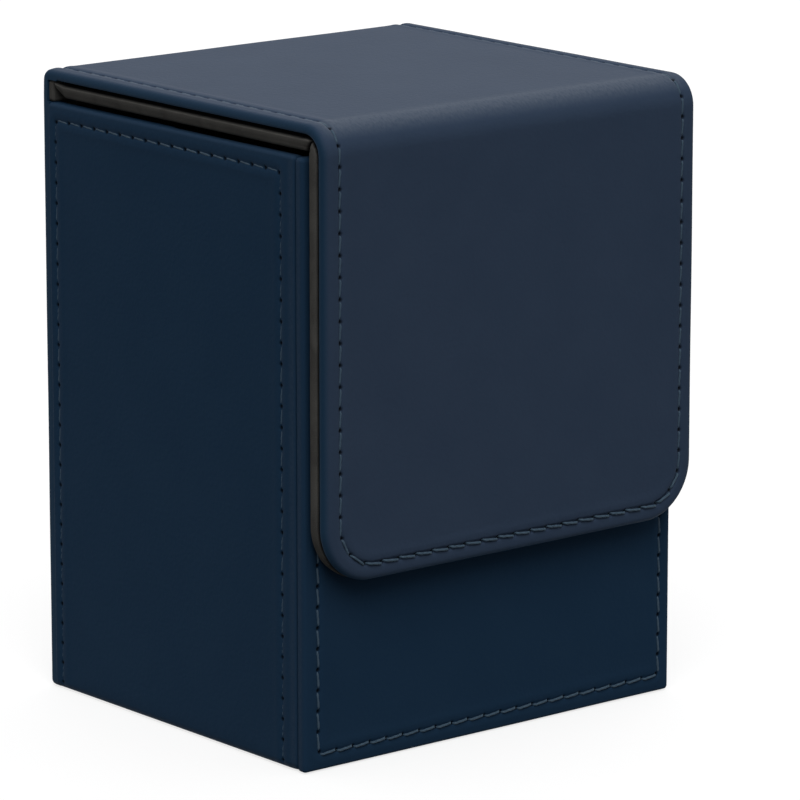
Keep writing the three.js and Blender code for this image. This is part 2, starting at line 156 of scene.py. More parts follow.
def leather_finish(name, colour, light_colour, edge_shade_colour, gloss_level):
    """Coated leather: a split hide under a soft polyurethane film that is embossed with a fine grain.
    It is nearly matt, with a faint pebble and small differences of tone. Its turned edges take an
    edge colour as painted shade, where it is bent over a corner a painted highlight lightens it in
    short streaks, and its needle holes are painted near black as shade."""
    grain_cell, grain_depth, grain_warp = 0.7, 0.028, 2.1
    pore_size, pore_share = 0.22, 0.35
    mottle_size = 14
    streak_width, streak_length = 0.42, 0.95
    made, shader = new_material(name, {"IOR": 1.45, "Specular IOR Level": gloss_level})
    sheet, hole, turned, painted_highlight = (
        add_node(made, "Attribute", attribute_name=attribute)
        for attribute in ("sheet_mm", "needle_hole_shade", "turned", "painted_highlight")
    )
    place = (sheet, "Vector")
    mottle = add_node(
        made, "TexNoise", {"Vector": place, "Scale": 1 / mottle_size, "Detail": 3.0, "Roughness": 0.6}
    )
    tone = add_node(made, "ValToRGB", {"Fac": (mottle, "Fac")}, [(0.3, colour), (0.7, light_colour)])
    squeeze = (1, streak_width / streak_length, 1)
    streak_place = add_node(made, "Mapping", {"Vector": place, "Scale": squeeze})
    streaks = add_node(
        made,
        "TexNoise",
        {"Vector": (streak_place, "Vector"), "Scale": 1 / streak_width, "Detail": 3.0, "Roughness": 0.6},
    )
    streak_share = add_node(
        made,
        "MapRange",
        {"Value": (streaks, "Fac"), "From Min": 0.3, "From Max": 0.7, "To Min": 0.45, "To Max": 1.45},
    )
    # The share of the painted highlight, broken into short streaks
    rubbed = add_node(
        made,
        "Math",
        {0: (painted_highlight, "Fac"), 1: (streak_share, "Result")},
        operation="MULTIPLY",
        use_clamp=True,
    )
    shade = (tone, "Color")
    for share, over_colour in (
        # painted shade on the turned edges
        ((turned, "Fac"), edge_shade_colour),
        # painted highlight where the leather is bent
        ((rubbed, "Value"), "#4b5564"),
        # painted shade in the needle holes
        ((hole, "Fac"), "#04060a"),
    ):
        inputs = {"Factor": share, 6: shade, 7: linear(over_colour)}
        shade = (add_node(made, "Mix", inputs, data_type="RGBA"), 2)
    warp, pores = (
        add_node(made, "TexNoise", {"Vector": place, "Scale": 1 / size, "Detail": detail})
        for size, detail in ((grain_warp, 1.0), (pore_size, 2.0))
    )
    warped = add_node(made, "VectorMath", {0: (warp, "Color"), 1: place}, operation="ADD")
    pebble = add_node(
        made,
        "TexVoronoi",
        {"Vector": (warped, "Vector"), "Scale": 1 / grain_cell, "Smoothness": 0.7},
        feature="SMOOTH_F1",
    )
    relief = add_node(
        made,
        "Math",
        {0: (pores, "Fac"), 1: pore_share, 2: (pebble, "Distance")},
        operation="MULTIPLY_ADD",
    )
    bump = add_node(
        made,
        "Bump",
        {"Height": (relief, "Value"), "Strength": 1.0, "Distance": grain_depth * MM},
        invert=True,
    )
    gloss = add_node(made, "MapRange", {"Value": (pores, "Fac"), "To Min": 0.5, "To Max": 0.62})
    set_inputs(
        made, shader, {"Base Color": shade, "Roughness": (gloss, "Result"), "Normal": (bump, "Normal")}
    )
    return made


case_leather = leather_finish("coated leather, case", "#1c3248", "#1e344a", "#1d3349", 0.025)


def bent_line(*corners):
    """A line through (across, up, radius) corners: the length at the ends of each bend, and a
    function that gives the points at lengths along it and the directions out to its left"""
    bend_steps = 48
    at = [np.array(corner[:2], float) for corner in corners]
    ways = [(b - a) / np.linalg.norm(b - a) for a, b in zip(at, at[1:])]
    spots = [at[0]]
    headings = [math.atan2(ways[0][1], ways[0][0])]
    bend_ends = []
    for k in range(1, len(corners) - 1):
        radius = corners[k][2]
        into, on = ways[k - 1], ways[k]
        turn = math.atan2(into[0] * on[1] - into[1] * on[0], into @ on)
        side = math.copysign(1, turn)
        start = at[k] - into * radius * math.tan(abs(turn) / 2)
        centre = start + np.array([-into[1], into[0]]) * radius * side
        bend = headings[-1] + np.linspace(0, turn, bend_steps + 1)
        outs = np.stack([-np.sin(bend), np.cos(bend)], 1)
        spots.extend(centre - outs * radius * side)
        headings.extend(bend)
        bend_ends.append((len(spots) - bend_steps - 1, len(spots) - 1))
    spots.append(at[-1])
    headings.append(headings[-1])
    spots = np.array(spots)
    lengths = np.r_[0, np.cumsum(np.linalg.norm(np.diff(spots, axis=0), axis=1))]

    def along(length):
        heading = np.interp(length, lengths, headings)
        point = [np.interp(length, lengths, spots[:, axis]) for axis in (0, 1)]
        return point[0], point[1], -np.sin(heading), np.cos(heading)

    return [(lengths[a], lengths[b]) for a, b in bend_ends], lengths[-1], along


def stitch_row(half, shut, open_end, corner, middle=0, groove_end=None):
    """A U-shaped row of stitches on a sheet: its half width, its shut end and where its legs end.
    A needle hole lies in each corner, and the other holes are shared out evenly between."""
    stitch_pitch = 3.45
    turn = half - corner + corner * math.pi / 4
    length = turn + corner * math.pi / 4 + abs(open_end - shut) - corner
    across_count = round(2 * turn / stitch_pitch)
    leg_count = round((length - turn) / stitch_pitch)
    leg = np.linspace(turn, length, leg_count + 1)
    shut_end = np.linspace(-turn, turn, across_count + 1)
    return dict(
        half=half,
        shut=shut,
        way=math.copysign(1, open_end - shut),
        corner=corner,
        middle=middle,
        length=length,
        reach=length + (0 if groove_end is None else abs(groove_end - open_end)),
        runs=[np.r_[-leg[:0:-1], shut_end, leg[1:]]],
    )


def beside_row(row, across, along):
    """How far each place lies outside a row, and how far along the row it is from its middle"""
    corner = row["corner"]
    flat = row["half"] - corner
    off = across - row["middle"]
    level = row["way"] * (along - row["shut"])
    past_flat = np.abs(off) - flat
    below_leg = corner - level
    outside = np.hypot(np.maximum(past_flat, 0), np.maximum(below_leg, 0))
    outside += np.minimum(np.maximum(past_flat, below_leg), 0) - corner
    bend = np.arctan2(np.maximum(past_flat, 0), np.maximum(below_leg, 1e-9))
    run = np.where(past_flat <= 0, np.abs(off), flat + corner * bend)
    run = np.where(below_leg <= 0, flat + corner * math.pi / 2 + level - corner, run)
    return outside, np.where(off < 0, -run, run)


def on_row(row, run):
    """The place on the sheet, and the heading, at a length along a row from its middle"""
    corner = row["corner"]
    flat = row["half"] - corner
    far = np.abs(run)
    bend = np.clip((far - flat) / corner, 0, math.pi / 2)
    leg = np.maximum(far - flat - corner * math.pi / 2, 0)
    off = np.minimum(far, flat) + corner * np.sin(bend)
    level = corner * (1 - np.cos(bend)) + leg
    side = np.where(run < 0, -1, 1)
    return row["middle"] + side * off, row["shut"] + row["way"] * level, side * row["way"] * bend


def bell(distance, width, power=2):
    """A smooth bump: 1 at no distance and close to 0 past its width"""
    return np.exp(-((distance / width) ** power))


def eased(share):
    """A share that leaves 0 and reaches 1 gently"""
    return share * share * (3 - 2 * share)


def seam_relief(rows, across, along, groove):
    """Height of a stitched sheet over its even face, and the share of painted shade at each place in and
    round a needle hole: the thread pulls a shallow groove, and each needle hole draws the leather down
    round it"""
    groove_width, groove_fade = 0.36, 0.5
    swell, swell_width, swell_place = 0.07, 0.7, 1.3
    pull, pull_width = 0.04, 0.8
    prick, prick_width, dark_width = 0.24, 0.27, 0.351
    height = np.zeros(len(across))
    hole_shade = np.zeros(len(across))
    for row in rows:
        outside, run = beside_row(row, across, along)
        holes = np.concatenate(row["runs"])
        following = np.clip(np.searchsorted(holes, run), 1, len(holes) - 1)
        to_hole = np.minimum(np.abs(run - holes[following - 1]), np.abs(run - holes[following]))
        to_hole = np.hypot(to_hole, outside)
        fade = bell(np.maximum(np.abs(run) - row["reach"], 0), groove_fade)
        height += fade * swell * bell(np.abs(outside) - swell_place, swell_width)
        for depth, dent in (
            (groove, bell(outside, groove_width)),
            (pull, bell(to_hole, pull_width)),
            (prick, bell(to_hole, prick_width)),
        ):
            height -= fade * depth * dent
        # Painted shade in and round each needle hole, darkest in its middle
        hole_shade = np.maximum(hole_shade, fade * bell(to_hole, dark_width, power=4))
    return height, hole_shade


def ripple(across, along):
    """The slight unevenness of hand-laid leather over a board, from waves that don't keep in step"""
    depth = 0.02
    wave = np.sin(across / 9.1 + 1.3) * np.sin(along / 11.7 + 0.4)
    wave += np.sin(across / 5.3 - along / 7.9) * 0.5 + np.sin(along / 4.7 + across / 13.1 + 2.1) * 0.4
    return depth * wave


def filled(marks, step):
    """Grid lines through the marks, at most a step apart"""
    marks = sorted(set(np.round(marks, 6)))
    lines = []
    for a, b in zip(marks, marks[1:]):
        lines.extend(np.linspace(a, b, max(1, math.ceil((b - a) / step - 1e-6)), endpoint=False))
    return np.array(lines + [marks[-1]])


def refined(corners, triangles, place_of, wanted):
    """Splits the edges that are longer than wanted, and each split triangle's longest edge first,
    so that every two neighbours still share whole edges"""
    most_rounds = 24
    for _ in range(most_rounds):
        points = place_of(corners)
        pairs = np.sort(triangles[:, [0, 1, 1, 2, 2, 0]].reshape(-1, 2), axis=1)
        keys = pairs[:, 0] * len(corners) + pairs[:, 1]
        _, first, which = np.unique(keys, return_index=True, return_inverse=True)
        edges, which = pairs[first], which.reshape(-1, 3)
        length = np.linalg.norm(points[edges[:, 0]] - points[edges[:, 1]], axis=1)
        middle = (corners[edges[:, 0]] + corners[edges[:, 1]]) / 2
        split = length > wanted(middle)
        if not split.any():
            break
        longest = np.argmax(length[which], axis=1)
        longest_edge = which[np.arange(len(which)), longest]
        while True:
            needs = split[which].any(axis=1) & ~split[longest_edge]
            if not needs.any():
                break
            split[longest_edge[needs]] = True
        number = np.full(len(edges), -1)
        number[split] = len(corners) + np.arange(split.sum())
        corners = np.vstack([corners, middle[split]])
        order = (longest[:, None] + np.arange(3)) % 3
        rows = np.arange(len(triangles))[:, None]
        tips = triangles[rows, order]
        cuts = number[which[rows, order]]
        parts = [tips[cuts[:, 0] < 0]]
        tips, cuts = tips[cuts[:, 0] >= 0], cuts[cuts[:, 0] >= 0]
        a, b, c = tips.T
        ab, bc, ca = cuts.T
        for chosen, *pointed in (
            (bc < 0, ab, b, c),
            (bc >= 0, ab, b, bc),
            (bc >= 0, ab, bc, c),
            (ca < 0, a, ab, c),
            (ca >= 0, a, ab, ca),
            (ca >= 0, ca, ab, c),
        ):
            parts.append(np.stack(pointed, 1)[chosen])
        triangles = np.vstack(parts)
    return corners, triangles


# Further off than any place on the box
FAR = 1e6


def band(one, other):
    """Four-sided faces between two lines of corners"""
    return np.stack([one[:-1], one[1:], other[1:], other[:-1]], 1)


def sheet_net(half, low, high, low_corner, high_corner, edge, wall, open_low, open_high, marks):
    """The net of a turned sheet before it takes its shape: triangles, and corners of across, along,
    turn and inside. Turn is 0 on the face, 1 where its round edge ends and 2 at the wall's foot."""
    grid_step, bend_step, arc_step, wall_step = 2.6, 0.55, 0.2, 0.12
    side = half - edge
    low_bend, high_bend = low_corner - edge, high_corner - edge

    def bend_marks(bend):
        return np.linspace(0, bend, max(3, math.ceil(bend / bend_step)))

    across_marks = [side - mark for bend in (low_bend, high_bend) for mark in bend_marks(bend)]
    across_lines = filled([*across_marks, *[-mark for mark in across_marks]], grid_step)
    along_marks = [low if open_low else low + edge, high if open_high else high - edge, *marks]
    along_marks += [] if open_low else [low + edge + mark for mark in bend_marks(low_bend)]
    along_marks += [] if open_high else [high - edge - mark for mark in bend_marks(high_bend)]
    along_lines = filled(along_marks, grid_step)
    across, along = np.meshgrid(across_lines, along_lines, indexing="ij")
    is_low = along < (low + high) / 2
    bend = np.where(is_low, low_bend, high_bend)
    core_low = -FAR if open_low else low + low_corner
    core_high = FAR if open_high else high - high_corner
    in_across = np.clip((np.abs(across) - side) / bend + 1, 0, 1)
    in_along = np.clip(np.where(is_low, core_low - along, along - core_high) / bend, 0, 1)
    rounded = (in_across > 0) & (in_along > 0)
    round_across = side - bend + bend * in_across * np.sqrt(1 - in_along**2 / 2)
    round_along = bend * in_along * np.sqrt(1 - in_across**2 / 2)
    round_along = np.where(is_low, core_low - round_along, core_high + round_along)
    across = np.where(rounded, np.sign(across) * round_across, across)
    along = np.where(rounded, round_along, along)

    index = np.arange(across.size).reshape(across.shape)
    left, right = index[0, ::-1], index[-1, :]
    bottom, top = index[1:-1, 0], index[-2:0:-1, -1]
    closed = not open_low and not open_high
    if open_low and open_high:
        paths = [left, right]
    elif open_low:
        paths = [np.r_[right, top, left]]
    elif open_high:
        paths = [np.r_[left, bottom, right]]
    else:
        paths = [np.r_[left, bottom, right, top, left[:1]]]
    arc_steps = max(3, math.ceil(edge / arc_step))
    wall_steps = math.ceil((wall - edge) / wall_step - 1e-6)
    turns = [*(np.arange(1, arc_steps + 1) / arc_steps)]
    turns += [1 + step / wall_steps for step in range(1, wall_steps + 1)]

    flat = np.stack([across.ravel(), along.ravel(), np.zeros(index.size)], 1)
    squares = [index[:-1, :-1], index[1:, :-1], index[1:, 1:], index[:-1, 1:]]
    faces = [np.stack(squares, -1).reshape(-1, 4)]
    bases = [flat]
    count = index.size
    ends = []
    for path in paths:
        loop = path[:-1] if closed else path
        chain = [path]
        for turn in turns:
            bases.append(np.c_[flat[loop][:, :2], np.full(len(loop), turn)])
            numbers = count + np.arange(len(loop))
            count += len(loop)
            ring = np.r_[numbers, numbers[:1]] if closed else numbers
            faces.append(band(ring, chain[-1]))
            chain.append(ring)
        ends.append(chain)
    one_side = np.vstack(bases)
    corners = np.vstack([np.c_[one_side, np.zeros(count)], np.c_[one_side, np.ones(count)]])
    outer = np.vstack(faces)
    quads = [outer, outer[:, ::-1] + count]
    quads += [band(chain[-1] + count, chain[-1]) for chain in ends]
    for open_end, last, order in ((open_high, -1, [0, 1, 2, 3]), (open_low, 0, [1, 0, 3, 2])):
        if open_end:
            left_end = [ring[-1 - last] for ring in ends[0]]
            right_end = [ring[last] for ring in ends[-1]]
            chain = np.r_[left_end[:0:-1], index[:, last], right_end[1:]]
            quads.append(band(chain, chain + count)[:, order])
    quads = np.vstack(quads)
    return corners, np.vstack([quads[:, [0, 1, 2]], quads[:, [0, 2, 3]]])


def turned_sheet(
    place, half, low, high, edge, wall, skin=None,
    corner=None, high_corner=None, open_low=False, open_high=False, marks=(),
    rows=(), relief=ripple, roll=(0, 1), groove=0.13, hem=0,
    tuck=(0, 1), slack_below=-FAR, bulge=0, border_highlight=(0, 1, 0), plain_below=-FAR, crease=None,
):
    """A closed mesh of a sheet that is turned down round its edges. Place gives the point at a place
    across and along the sheet and a depth under its face. The sheet lies from -half to half and
    from low to high, and its edge is rounded down to the wall's depth. Its corners are nearly square
    or have a radius. It is skin thick with a hollow behind it, or solid if it has no skin. An open
    end isn't turned down, and goes on in another piece. Marks are places along it that get a line
    of the net. Roll is how far its border sinks towards the edge, and over what width. Groove is
    how deep the thread of its rows pulls it. The foot of its wall rolls in by hem, or is drawn in by
    tuck's depth over tuck's height, and by less below a place along, and the wall bulges. A painted
    highlight lightens its border, at a place in from the edge, over a width and by a share. The border
    isn't rolled and gets no painted highlight below a place across. Crease gives the edge length wanted
    at a place."""
    square_corner = 0.1
    middle = (low + high) / 2
    corner = edge + square_corner if corner is None else corner
    high_corner = corner if high_corner is None else high_corner
    core_low = -FAR if open_low else low + corner
    core_high = FAR if open_high else high - high_corner

    def outward(at):
        core_half = half - np.where(at[:, 1] < middle, corner, high_corner)
        core = [np.clip(at[:, 0], -core_half, core_half), np.clip(at[:, 1], core_low, core_high)]
        way = at[:, :2] - np.stack(core, 1)
        return way / np.maximum(np.linalg.norm(way, axis=1), 1e-9)[:, None]

    def unrolled(at):
        over = edge * math.pi / 2 * np.minimum(at[:, 2], 1)
        over += np.maximum(at[:, 2] - 1, 0) * (wall - edge)
        return at[:, :2] + outward(at) * over[:, None]

    def from_edge(spread):
        end_corner = np.where(spread[:, 1] < middle, corner, high_corner)
        past_side = np.abs(spread[:, 0]) - half + end_corner
        past_end = np.maximum(core_low - spread[:, 1], spread[:, 1] - core_high)
        beyond = np.hypot(np.maximum(past_side, 0), np.maximum(past_end, 0))
        return end_corner - beyond - np.minimum(np.maximum(past_side, past_end), 0)

    def taut(at):
        slack, ease = 0.4, 0.5
        return np.interp(at[:, 1], [slack_below - ease, slack_below + ease], [slack, 1])

    def drawn_share(at):
        steepness = 3.3
        to_foot = (wall - edge) * (2 - np.maximum(at[:, 2], 1))
        return eased(np.clip(steepness * (1 - to_foot / (tuck[1] * taut(at))), 0, 1))

    def points_of(at, height=0):
        least_bend, solid_inset = 0.02, 0.04
        inside = at[:, 3]
        angle = np.minimum(at[:, 2], 1) * math.pi / 2
        drop = np.maximum(at[:, 2] - 1, 0)
        depth = edge * (1 - np.cos(angle)) + drop * (wall - edge)
        to_foot = wall - depth
        drawn = tuck[0] * taut(at) * drawn_share(at) - bulge * np.sin(math.pi * drop)
        rolled = hem - np.sqrt(hem**2 - np.clip(hem - to_foot, 0, hem) ** 2)
        off = edge * np.sin(angle) - drawn - rolled
        if skin is None:
            in_off = (edge - solid_inset) * np.minimum(at[:, 2], 1)
            in_depth = np.full(len(at), float(wall))
        else:
            inner = max(edge - skin, least_bend)
            in_off = inner * np.sin(angle) - drawn
            in_depth = skin + inner * (1 - np.cos(angle)) + drop * (wall - skin - inner)
        off = off * (1 - inside) + in_off * inside + height * np.sin(angle)
        depth = depth * (1 - inside) + in_depth * inside - height * np.cos(angle)
        spot = at[:, :2] + outward(at) * off[:, None]
        return place(spot[:, 0], spot[:, 1], depth)

    def wanted(at):
        finest, growth, coarsest = 0.17, 0.42, 3.2
        border_step, border_growth = 0.6, 0.5
        row_width, unsplit = 0.6, 1e3
        size = np.full(len(at), coarsest)
        spread = unrolled(at)
        for row in rows:
            outside, run = beside_row(row, *spread.T)
            distance = np.hypot(outside, np.maximum(np.abs(run) - row["reach"], 0))
            size = np.minimum(size, finest + growth * np.maximum(distance - row_width, 0))
        if roll[0]:
            to_border = np.abs(from_edge(spread) - roll[1] / 2)
            size = np.minimum(size, border_step + border_growth * to_border)
        if crease is not None:
            size = np.minimum(size, crease(*spread.T))
        return np.where(at[:, 3] > 0, unsplit, size)

    corners, triangles = sheet_net(
        half, low, high, corner, high_corner, edge, wall, open_low, open_high, marks
    )
    if rows or crease is not None:
        corners, triangles = refined(corners, triangles, points_of, wanted)
    pinch_start, pinch_depth, pinch_share = 0.12, 0.3, 1.6
    turned_shade_width, turned_shade_fade = 1.3, 1.5
    spread = unrolled(corners)
    inward = from_edge(spread)
    face = 1 - corners[:, 3]
    height = relief(*spread.T)
    # Painted shade on the lining: the share that goes near black in deep dents and in the drawn-in tuck
    # at the foot of its wall
    pressed = np.clip((-height - pinch_start) / pinch_depth, 0, 1)
    if tuck[0]:
        pressed = np.maximum(pressed, np.clip(pinch_share * drawn_share(corners), 0, 1))
    worked = spread[:, 0] >= plain_below
    height = height - worked * roll[0] * np.clip(1 - inward / roll[1], 0, 1) ** 2
    seam, hole_shade = seam_relief(rows, *spread.T, groove)
    return {
        "points": points_of(corners, (height + seam) * face),
        "triangles": triangles,
        "sheet": np.c_[spread, -corners[:, 3]],
        "needle_hole_shade": hole_shade * face,
        # painted shade on the turned edge, fading out over the face
        "turned": eased(np.clip((turned_shade_width - inward) / turned_shade_fade, 0, 1)),
        "pressed": pressed * face,
        # painted highlight on a bend or border, as lighter leather
        "painted_highlight": border_highlight[2] * bell(inward - border_highlight[0], border_highlight[1]) * worked * face,
    }


def piece(name, parts, material, sharp_angle=50):
    """A mesh object of points in millimetres and triangles. It keeps its sheet coordinates, and at each
    point the shares of painted shade in a needle hole, on a turned edge and in a pressed seam, and of a
    painted highlight on a bend"""
    mesh = bpy.data.meshes.new(name)
    mesh.from_pydata((parts["points"] * MM).tolist(), [], parts["triangles"].tolist())
    sheet = mesh.attributes.new("sheet_mm", "FLOAT_VECTOR", "POINT")
    sheet.data.foreach_set("vector", parts["sheet"].astype(np.float32).ravel())
    for share in ("needle_hole_shade", "turned", "pressed", "painted_highlight"):
        if share in parts:
            shares = mesh.attributes.new(share, "FLOAT", "POINT")
            shares.data.foreach_set("value", parts[share].astype(np.float32))
    mesh.polygons.foreach_set("use_smooth", [True] * len(mesh.polygons))
    mesh.set_sharp_from_angle(angle=math.radians(sharp_angle))
    mesh.materials.append(material)
    mesh.update()
    made = bpy.data.objects.new(name, mesh)
    bpy.context.scene.collection.objects.link(made)
    return made


def fit(made, node, body):
    """Puts a piece in the place of a node of the frame, on the body it rides on"""
    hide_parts(node)
    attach(made, body)


strip_low, strip_high = span("side_wrap")
strip_leather, strip_edge = 0.6, 0.58
strip_base_corner, strip_top_corner = 1.5, 0.65
strip_row_front, strip_row_rear = 3.65, 1.95
strip_row_top, strip_row_foot = 2.8, 1.3
row_corner = 1.0
strip_lip = span("left_board")[1][0]
strip_side, strip_top = strip_high[0], strip_high[2]
strip_bends, strip_length, strip_line = bent_line(
    (-strip_lip, strip_top, 0),
    (strip_side, strip_top, strip_top_corner),
    (strip_side, 0, strip_base_corner),
    (-strip_side, 0, strip_base_corner),
    (-strip_side, strip_top, strip_top_corner),
    (strip_lip, strip_top, 0),
)
strip_middle = (strip_low[1] + strip_high[1]) / 2
strip_half = (strip_high[1] - strip_low[1]) / 2


def strip_place(across, along, depth):
    x, z, out_x, out_z = strip_line(along)
    return np.stack([x - out_x * depth, strip_middle - across, z - out_z * depth], 1)


right_top = strip_bends[0][1] - strip_top_corner
left_top = strip_bends[3][0] + strip_top_corner
right_row, left_row = (
    stitch_row(
        strip_half - (strip_row_front + strip_row_rear) / 2,
        top + way * strip_row_top, top + way * (strip_top - strip_row_foot),
        row_corner, (strip_row_rear - strip_row_front) / 2,
    )
    for top, way in ((right_top, 1), (left_top, -1))
)


def strip_relief(across, along):
    """The leather's unevenness, pressed flat under the base"""
    pressed_by = 0.03
    base_share = np.clip(along - strip_bends[1][0], 0, 1) * np.clip(strip_bends[2][1] - along, 0, 1)
    return ripple(across, along) * (1 - base_share) - pressed_by * base_share


strip_sheet = turned_sheet(
    strip_place, strip_half, 0, strip_length, strip_edge, strip_leather,
    marks=[line for bend in strip_bends for line in np.linspace(*bend, 7)],
    rows=[right_row, left_row],
    relief=strip_relief,
    # A highlight is painted along the rolled front border
    roll=(0.2, 2.5), border_highlight=(0.95, 0.6, 0.15), plain_below=0,
)
# A painted highlight along each of the strip's two top bends
rim_highlight, rim_highlight_width = 0.1, 0.5
for top_bend in (strip_bends[0], strip_bends[3]):
    from_rim = strip_sheet["sheet"][:, 1] - sum(top_bend) / 2
    strip_sheet["painted_highlight"] = np.maximum(strip_sheet["painted_highlight"], rim_highlight * bell(from_rim, rim_highlight_width))
fit(piece("side_strip_leather", strip_sheet, case_leather), "side_wrap", "case")

# Front panel
# A board in a tray of coated leather, with the leather turned in round all four edges. It is glued
# to the front of the strip and stitched down both sides and across the bottom.


def flat_place(origin, across_way, up_way):
    """Places for a flat sheet: across_way and up_way lie in its face, which looks along their cross"""
    out = np.cross(across_way, up_way)

    def place(across, along, depth):
        return origin + np.outer(across, across_way) + np.outer(along, up_way) - np.outer(depth, out)

    return place


cover_leather = 0.6
front_low, front_high = span("front_cover")
front_edge = 0.75
front_row_side, front_row_foot, front_row_middle = 2.8, 3.0, 0.17
front_place = flat_place((0, front_low[1], 0), (1, 0, 0), (0, 0, 1))
front_row = stitch_row(
    front_high[0] - front_row_side, front_row_foot, front_high[2] - front_edge,
    row_corner, front_row_middle,
)
front_sheet = turned_sheet(
    front_place, front_high[0], 0, front_high[2], front_edge,
    front_high[1] - front_low[1], cover_leather,
    rows=[front_row],
    # A highlight is painted on the rounded edge of the panel
    roll=(0.15, 1.8), hem=0.2, border_highlight=(-0.85, 0.6, 0.15),
)
fit(piece("front_panel_leather", front_sheet, case_leather), "front_cover", "case")

# Back panel
# The same tray of leather over a board, with its thin edge lapped over the side strip. The leather
# isn't turned in at the top: it runs on as the fold and over the lid and flap, in one long strip.
# The lid's leather is the case's leather painted lighter and greyer: painted light for the brighter,
# hazier look of its faces
lid_leather_painted_lighter = leather_finish("coated leather, lid", "#303e52", "#334155", "#1c3348", 0.05)
lid_low, lid_high = span("lid_cover")
back_low, back_high = span("back_cover")
fold_low = span("fold_leather")[0]
lid_front_corner, lid_rear_corner = 5, 1.8
lid_edge, lid_wall = 1.0, 1.7
lid_roll = (0.12, 2.2)
lid_bends, lid_length, lid_line = bent_line(
    (lid_low[1], lid_low[2], 0),
    (lid_low[1], lid_high[2], lid_front_corner),
    (back_high[1], lid_high[2], lid_rear_corner),
    (back_high[1], 0, 0),
)
lid_end = lid_bends[1][0] - (back_high[1] - lid_rear_corner - (lid_high[1] + fold_low[1]) / 2)
case_end = lid_length - (back_high[2] + fold_low[2]) / 2
thread_stop, groove_past = 1.2, 1
back_lap = 0.5
back_row_inset = 3.05


def lid_place(across, along, depth):
    y, z, out_y, out_z = lid_line(along)
    return np.stack([across, y - out_y * depth, z - out_z * depth], 1)


back_row = stitch_row(
    back_high[0] - back_row_inset, lid_length - back_row_inset, case_end + thread_stop,
    row_corner, groove_end=case_end - groove_past,
)
back_sheet = turned_sheet(
    lid_place, back_high[0], case_end, lid_length, lid_edge,
    back_high[1] - back_low[1] + back_lap, cover_leather,
    open_low=True, rows=[back_row], roll=lid_roll,
)
fit(piece("back_panel_leather", back_sheet, lid_leather_painted_lighter), "back_cover", "case")

# Thread in the case
# Three-ply bonded polyester, sewn by machine in a lockstitch. Each stitch comes up through one
# needle hole and goes down the next, leans a little across its row, and is pulled into the leather.

# Polyester thread: fine bright filaments that are twisted into plies
filament, filament_relief = 0.07, 0.02
thread, thread_shader = new_material(
    "bonded polyester thread", {"Roughness": 0.5, "Specular IOR Level": 0.12}
)
thread_place = add_node(thread, "Attribute", attribute_name="sheet_mm")
filaments = add_node(
    thread, "TexNoise", {"Vector": (thread_place, "Vector"), "Scale": 1 / filament, "Detail": 2.0}
)
thread_tone = add_node(thread, "ValToRGB", {"Fac": (filaments, "Fac")}, [(0, "#344553"), (1, "#475b6c")])
thread_bump = add_node(
    thread, "Bump", {"Height": (filaments, "Fac"), "Strength": 0.6, "Distance": filament_relief * MM}
)
set_inputs(
    thread, thread_shader, {"Base Color": (thread_tone, "Color"), "Normal": (thread_bump, "Normal")}
)


def stitches(row, place, sunk, proud, lean_side=-1):
    """Every stitch of a row as a short bent thread of twisted plies. Sunk is how deep the thread
    lies in the long rows, and proud is how much higher it stands across the end of a panel. All
    the stitches of a row lean to one side, which depends on the face that was sewn from."""
    thread_radius, thinning = 0.2, 0.25
    length_share, dive = 0.93, 0.75
    lean = math.radians(6 * lean_side)
    plies, ply_depth, twist = 3, 0.1, 2.6
    steps, sides = 17, 12
    # The points of a stitch are rings from one end of it to the other, and then its two tips
    way = np.r_[np.repeat(np.linspace(-1, 1, steps), sides), -1, 1]
    angle = np.r_[np.tile(np.arange(sides) / sides * 2 * math.pi, steps), 0, 0]
    radius = thread_radius * (1 - thinning * way**6)
    radius *= 1 + ply_depth * np.cos(plies * (angle - twist * way))
    radius[-2:] = 0
    ring = np.arange(sides)
    following = np.roll(ring, -1)
    end = (steps - 1) * sides
    tube = []
    for start in range(0, end, sides):
        a, b = ring + start, following + start
        tube.append(np.stack([a, b, b + sides], 1))
        tube.append(np.stack([a, b + sides, a + sides], 1))
    tube.append(np.stack([following, ring, np.full(sides, end + sides)], 1))
    tube.append(np.stack([ring + end, following + end, np.full(sides, end + sides + 1)], 1))
    tube = np.vstack(tube)
    points, sheet, triangles = [], [], []
    for run in row["runs"]:
        middles = on_row(row, (run[:-1] + run[1:]) / 2)
        for across, along, heading, pitch in zip(*middles, np.diff(run)):
            ahead = pitch / 2 * length_share * way
            aside = radius * np.cos(angle)
            level = proud * math.cos(heading) ** 2 - sunk
            height = level - dive * np.abs(way) ** 9 + radius * np.sin(angle)
            tilt = heading + lean
            across = across + ahead * math.cos(tilt) - aside * math.sin(tilt)
            along = along + ahead * math.sin(tilt) + aside * math.cos(tilt)
            triangles.append(tube + len(way) * len(points))
            points.append(place(across, along, -height))
            sheet.append(np.stack([across, along, height], 1))
    return dict(points=np.vstack(points), triangles=np.vstack(triangles), sheet=np.vstack(sheet))


for side, row, place, sunk, proud, lean_side in (
    ("front", front_row, front_place, 0.15, 0.3, 1),
    ("back", back_row, lid_place, 0.15, 0.3, -1),
    ("left", left_row, strip_place, 0.3, 0.04, -1),
    ("right", right_row, strip_place, 0.3, 0.04, -1),
):
    sewn = stitches(row, place, sunk, proud, lean_side)
    sewn = piece(side + "_stitches", sewn, thread, sharp_angle=80)
    fit(sewn, side + "_stitching", "case")

# Lining of the card compartment
# Five sheets of grey-black microfibre, cut to the walls and the base and laid in glue. Their top
# edges are skived thin and rubbed down, a little below the rim of the case.

